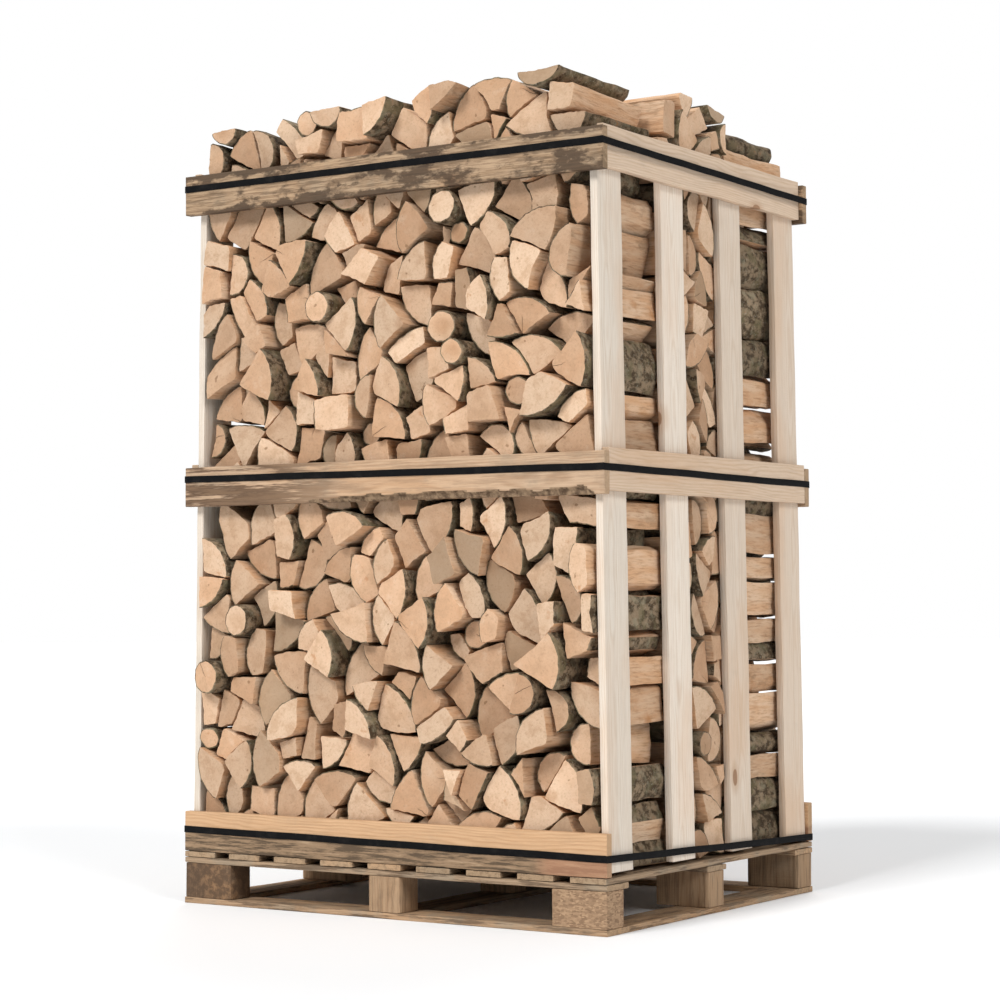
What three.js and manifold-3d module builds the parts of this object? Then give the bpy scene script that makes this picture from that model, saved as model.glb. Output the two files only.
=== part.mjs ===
// A pallet crate of split firewood: pallet, slatted side panels, front and back rails, straps
// and the stacked logs. Millimetres, +Z up, origin at the middle of the footprint on the ground.
import * as THREE from 'three';
import Module from 'manifold-3d';
import { mergeVertices } from 'three/addons/utils/BufferGeometryUtils.js';

const wasm = await Module();
wasm.setup();

// ---- driving dimensions -------------------------------------------------------------------
const WIDTH = 1200; // X, over the pallet and the front rails
const DEPTH = 1000; // Y, over the pallet and the rails
const GAP = 0.3; // air left between pieces that touch

const BOTTOM_BOARD = { width: 98, thick: 15 };
const BLOCK = { sideWidth: 145, middleWidth: 92, depth: 78, height: 82, chamfer: 7 };
const STRINGER = { width: 95, thick: 14 };
const DECK = { count: 9, width: 95, thick: 14 };

const RAIL = { height: 97, thick: 23 }; // front and back rails
const RAIL_BASES = { bottom: 0, middle: 838, top: 1556 }; // above the pallet deck
const SIDE_RAIL = { thick: 19 };
const SLAT = { count: 4, width: 105, thick: 20, length: 1643 };
const PANEL_LEAN = 0.8; // degrees, each side panel leans in towards its top
const EDGE = 1.6; // chamfer along the boards' long edges

const STRAP = { width: 16, thick: 1, corner: 1.7 };
// height of each strap's middle at front left, front right, back right and back left
const STRAP_HEIGHTS = {
  top: [1747, 1746, 1739, 1742],
  middle: [1032, 1025, 1021, 1028],
  bottom: [179, 168, 137, 150],
};

const LOG_LENGTH = 345; // the longest logs
const LOG_REACH = 22; // how far the sawn ends stand out past the front and back rails
const SIDE_REACH = 22; // how far crosswise logs stand out past the slats' inner faces
const ROW_GAP = 12; // between the crosswise logs and the front and back rows
const COLUMN_GAP = 32; // between the columns of crosswise logs

// ---- heights that follow ------------------------------------------------------------------
const blockBase = BOTTOM_BOARD.thick + GAP;
const stringerBase = blockBase + BLOCK.height + GAP;
const deckBase = stringerBase + STRINGER.thick + GAP;
const deckTop = deckBase + DECK.thick;
const railBase = (level) => deckTop + GAP + RAIL_BASES[level];
const railTop = (level) => railBase(level) + RAIL.height;
const leanSlope = Math.tan(THREE.MathUtils.degToRad(PANEL_LEAN));
const panelPivot = railBase('middle') + RAIL.height / 2; // height at which a panel is at its nominal place
const slatFace = WIDTH / 2 - SIDE_RAIL.thick - GAP; // the slats' outer face at the pivot height
const insideAt = (z) => slatFace - SLAT.thick + (panelPivot - z) * leanSlope; // slats' inner face at a height

// Outline of the heap over the top rail, left to right: [x, height over the top rail].
const FRONT_HEAP = [
  [-515, 98], [-400, 102], [-300, 140], [-250, 136], [-190, 100], [-100, 132], [0, 126], [80, 108],
  [140, 158], [190, 140], [320, 132], [400, 128], [450, 146], [500, 118], [546, 12],
];
const BACK_HEAP = [
  [-540, 70], [-430, 118], [-300, 130], [-150, 112], [0, 140], [150, 150], [300, 128], [430, 116],
  [520, 84], [545, 20],
];
// Outline of a crosswise column's heap, front to back: [y, height over the top rail].
const CROSS_HEAP = [[-160, 120], [-90, 144], [0, 138], [80, 130], [160, 122]];

// ---- materials ----------------------------------------------------------------------------
const wood = (color, roughness = 0.8) => new THREE.MeshStandardMaterial({ color, roughness, metalness: 0 });
const colours = {
  pallet: 0x8f7458, block: 0x8a6f55, weathered: 0x9a7d5a, clean: 0xcfa882, slat: 0xe2cdb0, log: 0xcda582,
};
const strapMaterial = () => new THREE.MeshStandardMaterial({ color: 0x1b1a1c, roughness: 0.45, metalness: 0 });

// ---- shapes -------------------------------------------------------------------------------
// A rectangle centred on the origin with its corners cut off.
function chamferedShape(width, height, cut) {
  const [w, h] = [width / 2, height / 2];
  const shape = new THREE.Shape();
  shape.moveTo(-w + cut, -h);
  shape.lineTo(w - cut, -h);
  shape.lineTo(w, -h + cut);
  shape.lineTo(w, h - cut);
  shape.lineTo(w - cut, h);
  shape.lineTo(-w + cut, h);
  shape.lineTo(-w, h - cut);
  shape.lineTo(-w, -h + cut);
  shape.closePath();
  return shape;
}

// A sawn board, centred on the origin: its long edges along `axis` are slightly broken.
function boardGeometry(size, axis, cut = EDGE) {
  const along = { x: size[0], y: size[1], z: size[2] }[axis];
  const section = { x: [size[2], size[1]], y: [size[0], size[2]], z: [size[0], size[1]] }[axis];
  const shape = chamferedShape(section[0], section[1], cut);
  const geometry = new THREE.ExtrudeGeometry(shape, { depth: along, bevelEnabled: false });
  geometry.translate(0, 0, -along / 2);
  if (axis === 'x') geometry.rotateY(Math.PI / 2);
  if (axis === 'y') geometry.rotateX(Math.PI / 2);
  return geometry;
}

function board(name, size, centre, axis, material, cut) {
  const mesh = new THREE.Mesh(boardGeometry(size, axis, cut), material);
  mesh.name = name;
  mesh.position.set(...centre);
  return mesh;
}

// Evenly spaced centres of `count` pieces of one width that fill a span centred on 0.
function spread(count, span, width) {
  const pitch = (span - width) / (count - 1);
  return Array.from({ length: count }, (_, i) => -(span - width) / 2 + i * pitch);
}

// ---- pallet -------------------------------------------------------------------------------
function pallet() {
  const group = new THREE.Group();
  const rowsY = spread(3, DEPTH, BLOCK.depth);
  const columnWidths = [BLOCK.sideWidth, BLOCK.middleWidth, BLOCK.sideWidth];
  const columnsX = [-(WIDTH - BLOCK.sideWidth) / 2, 0, (WIDTH - BLOCK.sideWidth) / 2];
  const sides = ['left', 'middle', 'right'];
  const rows = ['front', 'centre', 'back'];

  const bottom = BOTTOM_BOARD;
  const bottomZ = bottom.thick / 2;
  for (const [row, sign] of [['front', -1], ['back', 1]]) {
    const y = (sign * (DEPTH - bottom.width)) / 2;
    group.add(board(`bottom_board_${row}`, [WIDTH, bottom.width, bottom.thick], [0, y, bottomZ], 'x',
      wood(colours.pallet)));
  }
  const betweenLength = DEPTH - 2 * bottom.width - 2 * GAP;
  spread(3, WIDTH, bottom.width).forEach((x, i) => {
    group.add(board(`bottom_board_${sides[i]}`, [bottom.width, betweenLength, bottom.thick], [x, 0, bottomZ], 'y',
      wood(colours.pallet)));
  });

  rowsY.forEach((y, r) => {
    columnsX.forEach((x, c) => {
      const size = [columnWidths[c], BLOCK.depth, BLOCK.height];
      const centre = [x, y, blockBase + BLOCK.height / 2];
      group.add(board(`block_${rows[r]}_${sides[c]}`, size, centre, 'z', wood(colours.block), BLOCK.chamfer));
    });
    const stringerY = THREE.MathUtils.clamp(y, -(DEPTH - STRINGER.width) / 2, (DEPTH - STRINGER.width) / 2);
    group.add(board(`stringer_${rows[r]}`, [WIDTH, STRINGER.width, STRINGER.thick],
      [0, stringerY, stringerBase + STRINGER.thick / 2], 'x', wood(colours.pallet)));
  });

  spread(DECK.count, WIDTH, DECK.width).forEach((x, i) => {
    group.add(board(`deck_board_${i + 1}`, [DECK.width, DEPTH, DECK.thick],
      [x, 0, deckBase + DECK.thick / 2], 'y', wood(colours.pallet)));
  });
  return group;
}

// ---- front and back rails -----------------------------------------------------------------
function rails() {
  const group = new THREE.Group();
  const tones = { bottom: colours.clean, middle: colours.weathered, top: colours.weathered };
  for (const [row, sign] of [['front', -1], ['back', 1]]) {
    for (const level of Object.keys(RAIL_BASES)) {
      const centre = [0, (sign * (DEPTH - RAIL.thick)) / 2, railBase(level) + RAIL.height / 2];
      group.add(board(`${row}_rail_${level}`, [WIDTH, RAIL.thick, RAIL.height], centre, 'x', wood(tones[level])));
    }
  }
  return group;
}

// ---- side panels --------------------------------------------------------------------------
// Slats and two rails, built round the panel's pivot height and leant in towards the top.
function sidePanel(name, side) {
  const panel = new THREE.Group();
  panel.position.set(0, 0, panelPivot);
  panel.rotation.y = -side * THREE.MathUtils.degToRad(PANEL_LEAN);
  const between = DEPTH - 2 * RAIL.thick - 2 * GAP;
  const slatBase = deckTop + 2 * GAP;
  const slatX = side * (slatFace - SLAT.thick / 2);
  const lift = GAP; // the leaning slat's lower corner dips by less than this
  spread(SLAT.count, between - 2 * GAP, SLAT.width).forEach((y, i) => {
    const z = slatBase + lift + SLAT.length / 2 - panelPivot;
    panel.add(board(`${name}_slat_${i + 1}`, [SLAT.thick, SLAT.width, SLAT.length], [slatX, y, z], 'z',
      wood(colours.slat, 0.7)));
  });
  const railX = side * (slatFace + GAP + SIDE_RAIL.thick / 2);
  for (const level of ['middle', 'top']) {
    const z = railBase(level) + RAIL.height / 2 - panelPivot;
    panel.add(board(`${name}_rail_${level}`, [SIDE_RAIL.thick, between - 2 * GAP, RAIL.height], [railX, 0, z], 'y',
      wood(colours.clean, 0.7)));
  }
  return panel;
}

// ---- straps -------------------------------------------------------------------------------
function roundedOutline(path, halfX, halfY, radius) {
  path.moveTo(-halfX + radius, -halfY);
  path.lineTo(halfX - radius, -halfY);
  path.absarc(halfX - radius, -halfY + radius, radius, -Math.PI / 2, 0, false);
  path.lineTo(halfX, halfY - radius);
  path.absarc(halfX - radius, halfY - radius, radius, 0, Math.PI / 2, false);
  path.lineTo(-halfX + radius, halfY);
  path.absarc(-halfX + radius, halfY - radius, radius, Math.PI / 2, Math.PI, false);
  path.lineTo(-halfX, -halfY + radius);
  path.absarc(-halfX + radius, -halfY + radius, radius, Math.PI, 1.5 * Math.PI, false);
  return path;
}

// A flat band round the crate. Its height is blended between the heights at the four corners.
function strap(level) {
  const [frontLeft, frontRight, backRight, backLeft] = STRAP_HEIGHTS[level];
  const inner = [WIDTH / 2 + GAP, DEPTH / 2 + GAP];
  const shape = roundedOutline(new THREE.Shape(), inner[0] + STRAP.thick, inner[1] + STRAP.thick, STRAP.corner);
  shape.holes.push(roundedOutline(new THREE.Path(), inner[0], inner[1], STRAP.corner - STRAP.thick));
  const options = { depth: STRAP.width, bevelEnabled: false, curveSegments: 5 };
  const geometry = new THREE.ExtrudeGeometry(shape, options);
  const position = geometry.attributes.position;
  for (let i = 0; i < position.count; i += 1) {
    const u = position.getX(i) / WIDTH + 0.5;
    const v = position.getY(i) / DEPTH + 0.5;
    const front = frontLeft * (1 - u) + frontRight * u;
    const back = backLeft * (1 - u) + backRight * u;
    position.setZ(i, position.getZ(i) - STRAP.width / 2 + front * (1 - v) + back * v);
  }
  const mesh = new THREE.Mesh(geometry, strapMaterial());
  mesh.name = `${level}_strap`;
  return mesh;
}

// ---- stacked logs -------------------------------------------------------------------------
function toManifold(geometry) {
  const bare = geometry.clone();
  bare.deleteAttribute('normal');
  bare.deleteAttribute('uv');
  const merged = mergeVertices(bare, 1e-4);
  return new wasm.Manifold(new wasm.Mesh({
    numProp: 3,
    vertProperties: new Float32Array(merged.attributes.position.array),
    triVerts: new Uint32Array(merged.index.array),
  }));
}

function fromManifold(solid) {
  const mesh = solid.getMesh();
  const geometry = new THREE.BufferGeometry();
  geometry.setAttribute('position', new THREE.BufferAttribute(mesh.vertProperties, 3));
  geometry.setIndex(new THREE.BufferAttribute(mesh.triVerts, 1));
  return geometry.toNonIndexed();
}

function boxBetween(low, high) {
  const size = high.map((value, i) => value - low[i]);
  const geometry = new THREE.BoxGeometry(...size);
  geometry.translate(...low.map((value, i) => value + size[i] / 2));
  return geometry;
}

// An outline in a vertical plane, made solid from `from` to `to` along the third direction.
function upright(outline, from, to, along) {
  const shape = new THREE.Shape(outline.map(([a, b]) => new THREE.Vector2(a, b)));
  const geometry = new THREE.ExtrudeGeometry(shape, { depth: to - from, bevelEnabled: false });
  if (along === 'y') {
    geometry.rotateX(Math.PI / 2); // outline's second direction turns up to Z, its depth to -Y
    geometry.translate(0, to, 0);
  } else {
    geometry.rotateX(Math.PI / 2);
    geometry.rotateZ(Math.PI / 2); // outline's first direction turns to Y, its depth to +X
    geometry.translate(from, 0, 0);
  }
  return geometry;
}

function logMass(name, geometry) {
  const mesh = new THREE.Mesh(geometry, wood(colours.log));
  mesh.name = name;
  return mesh;
}

const pileBase = deckTop + 2 * GAP;
const heapBase = railTop('top') + GAP;
const clearOfSlats = 3;

// The front or back row: as wide as the side panels let it be, heaped over the top rail.
function row(name, sign, heap) {
  const halfLow = insideAt(pileBase) - clearOfSlats;
  const halfHigh = insideAt(railTop('top')) - clearOfSlats;
  const outline = [[-halfLow, pileBase], [halfLow, pileBase], [halfHigh, heapBase]];
  [...heap].reverse().forEach(([x, height]) => outline.push([x, heapBase + height]));
  outline.push([-halfHigh, heapBase]);
  const face = sign * (DEPTH / 2 - RAIL.thick - 2 * GAP);
  const inner = sign * (DEPTH / 2 + LOG_REACH - LOG_LENGTH);
  let solid = toManifold(upright(outline, Math.min(face, inner), Math.max(face, inner), 'y'));

  const tips = sign * (DEPTH / 2 + LOG_REACH);
  const [near, far] = [Math.min(face - sign, tips), Math.max(face - sign, tips)];
  const bays = [
    [railTop('bottom') + GAP, railBase('middle') - GAP],
    [railTop('middle') + GAP, railBase('top') - GAP],
  ];
  for (const [low, high] of bays) {
    solid = solid.add(toManifold(boxBetween([-halfHigh, near, low], [halfHigh, far, high])));
  }
  const overRail = [[-halfHigh, heapBase], [halfHigh, heapBase]];
  [...heap].reverse().forEach(([x, height]) => overRail.push([x, heapBase + height]));
  solid = solid.add(toManifold(upright(overRail, near, far, 'y')));
  return logMass(name, fromManifold(solid));
}

// One column of crosswise logs. The outer columns stand out a little between the two middle slats.
function column(name, side) {
  const halfDepth = DEPTH / 2 + LOG_REACH - LOG_LENGTH - ROW_GAP;
  const top = heapBase;
  const outline = [[-halfDepth, pileBase], [halfDepth, pileBase]];
  [...CROSS_HEAP].reverse().forEach(([y, height]) => outline.push([y, top + height]));
  const outer = insideAt(railTop('top')) - clearOfSlats;
  const centre = side * (LOG_LENGTH + COLUMN_GAP);
  const [from, to] = [centre - LOG_LENGTH / 2, centre + LOG_LENGTH / 2];
  const reach = [Math.max(from, -outer), Math.min(to, outer)];
  let solid = toManifold(upright(outline, reach[0], reach[1], 'x'));
  if (side !== 0) {
    const halfBay = (DEPTH - 2 * RAIL.thick - 4 * SLAT.width) / 6 - clearOfSlats;
    const bays = [
      [pileBase, railBase('middle') - 6],
      [railTop('middle') + 6, railBase('top') - 6],
    ];
    for (const [low, high] of bays) {
      const tip = insideAt((low + high) / 2) + SIDE_REACH;
      const [near, far] = side > 0 ? [outer - 1, tip] : [-tip, -outer + 1];
      solid = solid.add(toManifold(boxBetween([near, -halfBay, low], [far, halfBay, high])));
    }
  }
  return logMass(name, fromManifold(solid));
}

// ---- the whole ----------------------------------------------------------------------------
const crate = new THREE.Group();
crate.add(pallet());
crate.add(rails());
crate.add(sidePanel('right', 1), sidePanel('left', -1));
for (const level of Object.keys(STRAP_HEIGHTS)) crate.add(strap(level));
crate.add(row('front_row_of_logs', -1, FRONT_HEAP), row('back_row_of_logs', 1, BACK_HEAP));
crate.add(column('cross_logs_left', -1), column('cross_logs_centre', 0), column('cross_logs_right', 1));

export default crate;
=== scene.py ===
# %% [markdown]
# A pallet crate of split firewood.
#
# About nine hundred split logs lie in a crate built on a wooden pallet: two slatted side panels, three
# rails across the front and the back, and three plastic straps. The measured frame comes from CAD.
# Here each board, strap and log gets the shape of its surface and its finish. One length unit is a metre.

import bpy
import numpy as np
from mathutils import Matrix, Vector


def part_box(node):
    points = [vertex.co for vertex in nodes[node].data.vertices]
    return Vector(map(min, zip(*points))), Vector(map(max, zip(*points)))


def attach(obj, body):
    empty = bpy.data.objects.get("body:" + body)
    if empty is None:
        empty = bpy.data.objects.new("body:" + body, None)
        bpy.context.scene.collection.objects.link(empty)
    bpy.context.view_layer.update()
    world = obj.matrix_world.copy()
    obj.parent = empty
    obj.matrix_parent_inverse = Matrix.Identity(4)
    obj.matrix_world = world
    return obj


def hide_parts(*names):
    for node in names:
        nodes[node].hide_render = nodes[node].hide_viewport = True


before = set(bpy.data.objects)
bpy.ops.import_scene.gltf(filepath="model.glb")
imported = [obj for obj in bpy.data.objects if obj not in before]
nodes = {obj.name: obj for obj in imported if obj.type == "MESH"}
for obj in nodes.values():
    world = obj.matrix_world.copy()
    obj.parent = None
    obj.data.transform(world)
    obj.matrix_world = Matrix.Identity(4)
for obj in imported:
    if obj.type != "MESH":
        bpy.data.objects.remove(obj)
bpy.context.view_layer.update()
MM = 0.001
TURN = 6.283                                # one full turn in radians

# %% [markdown]
# Camera. The crate is seen from a low three-quarter view through a long lens, so upright edges stay nearly
# upright. The camera could be aimed with a constraint, but three angles written out are easier to adjust
# one at a time. The standard view transform leaves the colours as the finishes give them.

# %% Camera
CAMERA_PLACE = np.array([3.403, -5.152, 0.730])
CAMERA_YAW, CAMERA_PITCH, CAMERA_ROLL = np.radians([33.48, 2.34, -0.24])
CAMERA_LENS, CAMERA_SIGHT = 89.4, 200       # millimetres; metres
camera = bpy.data.objects.new("camera", bpy.data.cameras.new("camera"))
camera.data.lens = CAMERA_LENS
camera.data.clip_end = CAMERA_SIGHT
ahead = np.array([-np.sin(CAMERA_YAW) * np.cos(CAMERA_PITCH), np.cos(CAMERA_YAW) * np.cos(CAMERA_PITCH),
                  np.sin(CAMERA_PITCH)])
level = np.array([np.cos(CAMERA_YAW), np.sin(CAMERA_YAW), 0.0])
upward = np.cross(level, ahead)
right = level * np.cos(CAMERA_ROLL) + upward * np.sin(CAMERA_ROLL)
upright = upward * np.cos(CAMERA_ROLL) - level * np.sin(CAMERA_ROLL)
pose = np.eye(4)
pose[:3, 0], pose[:3, 1], pose[:3, 2], pose[:3, 3] = right, upright, -ahead, CAMERA_PLACE
camera.matrix_world = Matrix(pose.tolist())
bpy.context.scene.collection.objects.link(camera)
bpy.context.scene.camera = camera
bpy.context.scene.view_settings.view_transform = "Standard"
print("camera at", CAMERA_PLACE)

# %% [markdown]
# Lamps and sky. Firewood for sale stands in broad, even light: the wood keeps its own colour, and only the
# gaps between the logs go dark. Area lamps near the crate would light its front more than its back. Suns
# light every side alike, and a wide sun gives a shadow with a soft edge. The sky fills the shadows, and
# the camera sees a white backdrop in its place.


# %% Lamps and sky
LAMPS = {                                   # degrees right of the front, degrees up, strength, degrees wide
    "key": (-6, 40, 2.35, 20),
    "side": (70, 34, 1.3, 24),
    "back": (200, 50, 0.9, 30),
}
SKY_STRENGTH = 0.33
WHITE = (1.0, 1.0, 1.0, 1)


def lamp(name, bearing, height, strength, spread):
    """A distant soft lamp: it shines from `bearing` degrees right of the front, `height` degrees up."""
    made = bpy.data.objects.new(name, bpy.data.lights.new(name, "SUN"))
    made.data.energy, made.data.angle = strength, np.radians(spread)
    made.rotation_euler = (np.radians(90 - height), 0, np.radians(bearing))
    bpy.context.scene.collection.objects.link(made)


for name, settings in LAMPS.items():
    lamp(name, *settings)
world = bpy.data.worlds.new("studio")
world.use_nodes = True
sky = world.node_tree
sky.nodes["Background"].inputs["Color"].default_value = WHITE
sky.nodes["Background"].inputs["Strength"].default_value = SKY_STRENGTH
backdrop = sky.nodes.new("ShaderNodeBackground")
backdrop.inputs["Color"].default_value = WHITE
seen = sky.nodes.new("ShaderNodeLightPath")
choose = sky.nodes.new("ShaderNodeMixShader")
sky.links.new(seen.outputs["Is Camera Ray"], choose.inputs[0])
sky.links.new(sky.nodes["Background"].outputs[0], choose.inputs[1])
sky.links.new(backdrop.outputs[0], choose.inputs[2])
sky.links.new(choose.outputs[0], sky.nodes["World Output"].inputs["Surface"])
bpy.context.scene.world = world
print(len(LAMPS), "lamps and an even sky")

# %% [markdown]
# Mesh helper. Every surface below is worked out as whole arrays of points and faces, which is quick even
# for nine hundred logs; Blender's own operators would need a step for each. This helper puts the arrays
# into a mesh and turns the faces outwards. It also stores what the finishes need: `grain` is the place of
# each point in the piece's own tree (two distances across the pith, one along it), `tone` is three random
# numbers for each board or log, and `skin` tells sawn ends (0), long faces (1) and bark (2) apart.


# %% Arrays to a mesh
def enclosed(points, quads, triangles):
    """Volume inside the faces: a sixth of each triangle's a . (b x c), summed.

    It is negative if the faces point inwards.
    """
    corners = np.concatenate([quads[:, :3], quads[:, [0, 2, 3]], triangles])
    a, b, c = (points[corners[:, i]] for i in range(3))
    return (a * np.cross(b, c)).sum() / 6


def new_piece(name, points, quads, triangles, grain, tone, skin, material, sharp_angle=38):
    """One mesh object from arrays, with its finish attributes.

    It is shaded smooth, but for edges that turn by more than `sharp_angle` degrees.
    """
    if enclosed(points, quads, triangles) < 0:
        quads, triangles = quads[:, ::-1], triangles[:, ::-1]
    mesh = bpy.data.meshes.new(name)
    mesh.vertices.add(len(points))
    mesh.vertices.foreach_set("co", np.ascontiguousarray(points, np.float32).ravel())
    corners = np.concatenate([quads.ravel(), triangles.ravel()]).astype(np.int32)
    sizes = np.concatenate([np.full(len(quads), 4), np.full(len(triangles), 3)])
    mesh.loops.add(len(corners))
    mesh.loops.foreach_set("vertex_index", corners)
    mesh.polygons.add(len(sizes))
    mesh.polygons.foreach_set("loop_start", np.concatenate([[0], np.cumsum(sizes)[:-1]]).astype(np.int32))
    mesh.update(calc_edges=True)
    for label, kind, domain, field, data in (("grain", "FLOAT_VECTOR", "POINT", "vector", grain),
                                             ("tone", "FLOAT_VECTOR", "POINT", "vector", tone),
                                             ("skin", "FLOAT", "FACE", "value", skin)):
        layer = mesh.attributes.new(label, kind, domain)
        layer.data.foreach_set(field, np.ascontiguousarray(data, np.float32).ravel())
    mesh.shade_smooth()
    mesh.set_sharp_from_angle(angle=np.radians(sharp_angle))
    mesh.materials.append(material)
    piece = bpy.data.objects.new(name, mesh)
    bpy.context.scene.collection.objects.link(piece)
    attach(piece, "root")
    return piece


print("arrays become meshes")

# %% [markdown]
# Rings and ripples. Boards and logs are both a section carried along a line, so one function numbers the
# faces between their rings and closes both ends to a point. A noise texture could roughen them, but it
# would need points close together. A few sine waves of random phase and slant need less.


# %% Rings of points, and ripples
def ring_faces(bodies, rings, points):
    """Faces of many like bodies, each `rings` closed rings of `points`, then a first and a last pole.

    Returns (quads, triangles) as vertex numbers, wound to face out when the rings turn anticlockwise as
    seen from the far end.
    """
    size = rings * points + 2
    base = (np.arange(bodies) * size)[:, None, None]
    ring = np.arange(rings - 1)[:, None] * points
    here = np.arange(points)
    after = (here + 1) % points
    quads = np.stack([ring + here, ring + after, ring + points + after, ring + points + here], -1)
    quads = base[..., None] + quads[None]
    first, last = rings * points, rings * points + 1
    tail = (rings - 1) * points
    start = np.stack([np.full(points, first), after, here], -1)
    end = np.stack([np.full(points, last), tail + here, tail + after], -1)
    triangles = base + np.concatenate([start, end])[None]
    return quads.reshape(-1, 4), triangles.reshape(-1, 3)


def ripple(u, v, wavelengths_u, wavelengths_v, height, rng):
    """Sum of waves height * sin(TURN (u / a + sign v / b) + phase), one for each pair of wavelengths.

    Each body, one along the first axis, draws its own sign, phase and stretch of the wavelength a.
    """
    total = np.zeros(np.broadcast(u, v).shape)
    lead = total.shape[0]
    for a, b in zip(wavelengths_u, wavelengths_v):
        sign = rng.choice([-1, 1], (lead,) + (1,) * (total.ndim - 1))
        phase = rng.uniform(0, TURN, (lead,) + (1,) * (total.ndim - 1))
        stretch = rng.uniform(0.8, 1.25, (lead,) + (1,) * (total.ndim - 1))
        total += height * np.sin(TURN * (u / (a * stretch) + sign * v / b) + phase)
    return total


print("rings become faces")

# %% [markdown]
# A small language for finishes. Node trees can be drawn by hand, but sums are easier to read as sums.
# `Value` wraps a number that varies over a surface, so `1 - mask` or `rings * 0.3` adds the Math node
# that it needs.


# %% Numbers that vary over a surface
class Value:
    """A number that varies over a surface; arithmetic on it adds Math nodes."""

    def __init__(self, finish, socket):
        self.finish, self.socket = finish, socket

    def _math(self, operation, *terms):
        return self.finish.value("ShaderNodeMath", {"operation": operation}, dict(enumerate(terms)))

    def __add__(self, other):
        return self._math("ADD", self, other)

    def __sub__(self, other):
        return self._math("SUBTRACT", self, other)

    def __rsub__(self, other):
        return self._math("SUBTRACT", other, self)

    def __mul__(self, other):
        return self._math("MULTIPLY", self, other)

    def __pow__(self, other):
        return self._math("POWER", self, other)

    __radd__, __rmul__ = __add__, __mul__

    def root(self):
        return self._math("SQRT", self)

    def wave(self):
        return self._math("SINE", self)

    def size(self):
        return self._math("ABSOLUTE", self)

    def rise(self, low, high):
        """0 below low, 1 above high and a smooth step between; it falls where low is above high."""
        if low > high:
            return 1 - self.rise(high, low)
        return self.finish.value("ShaderNodeMapRange", {"interpolation_type": "SMOOTHSTEP"},
                                 {"Value": self, "From Min": low, "From Max": high})


print("sums become Math nodes")

# %% [markdown]
# `Finish` holds one material. Its method `node` adds any kind of node: first its settings, then the values
# or links of its sockets. The other methods are short names for the nodes that wood needs most.


# %% A material and its nodes
class Finish:
    """One material: its nodes, and the shader whose sockets it feeds."""

    def __init__(self, name, roughness=0.8):
        self.material = bpy.data.materials.new(name)
        self.material.use_nodes = True
        self.tree = self.material.node_tree
        self.shader = self.tree.nodes["Principled BSDF"]
        self.shader.inputs["Roughness"].default_value = roughness
        self.shader.inputs["Specular IOR Level"].default_value = 0.25

    def node(self, kind, settings=None, inputs=None):
        """Any node: its type, its settings, which are set first, then values or links for its sockets."""
        made = self.tree.nodes.new(kind)
        for name, setting in (settings or {}).items():
            setattr(made, name, setting)
        for key, given in (inputs or {}).items():
            given = given.socket if isinstance(given, Value) else given
            if isinstance(given, bpy.types.NodeSocket):
                self.tree.links.new(given, made.inputs[key])
            else:
                made.inputs[key].default_value = given
        return made

    def value(self, kind, settings=None, inputs=None, output=0):
        return Value(self, self.node(kind, settings, inputs).outputs[output])

    def attribute(self, name):
        return self.node("ShaderNodeAttribute", {"attribute_name": name})

    def parts(self, vector):
        """The three numbers of a vector."""
        split = self.node("ShaderNodeSeparateXYZ", None, {0: vector})
        return [Value(self, socket) for socket in split.outputs]

    def scaled(self, vector, factors):
        """A vector with each of its numbers multiplied by a factor of its own."""
        product = self.node("ShaderNodeVectorMath", {"operation": "MULTIPLY"}, {0: vector, 1: factors})
        return product.outputs[0]

    def noise(self, vector, scale, detail=3.0, rough=0.55, stretch=(1, 1, 1)):
        """Cloudy noise from 0 to 1, with `scale` clouds a metre, more in the stretched directions."""
        return self.value("ShaderNodeTexNoise", None, {
            "Vector": self.scaled(vector, stretch), "Scale": scale, "Detail": detail, "Roughness": rough})

    def mix(self, factor, first, second, blend="MIX"):
        """A colour between two colours; each is a socket or three numbers."""
        pads = [c if isinstance(c, bpy.types.NodeSocket) else (*c, 1.0) for c in (first, second)]
        return self.node("ShaderNodeMix", {"data_type": "RGBA", "blend_type": blend},
                         {0: factor, 6: pads[0], 7: pads[1]}).outputs[2]

    def bump(self, height, depth):
        """Feeds the Normal with a relief of `height`, `depth` metres deep."""
        relief = self.node("ShaderNodeBump", None, {"Strength": 1.0, "Distance": depth, "Height": height})
        self.tree.links.new(relief.outputs[0], self.shader.inputs["Normal"])

    def paint(self, colour, roughness):
        """Feeds the shader's colour and roughness, and returns the finished material."""
        self.tree.links.new(colour, self.shader.inputs["Base Color"])
        self.tree.links.new(roughness.socket, self.shader.inputs["Roughness"])
        return self.material


print("materials ready")

# %% [markdown]
# Log wood. One finish has three skins. Sawn ends are pale, with faint rings round the pith, saw marks,
# smears and a few drying cracks. Split faces are more orange, with fibres along the log. Bark is brown
# and blotched with grey lichen. The random tone of each log shifts it between cream, peach and stained
# grey. Three materials would do too, but one that reads `skin` lets a mesh of hundreds of logs keep a
# single material.

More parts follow.
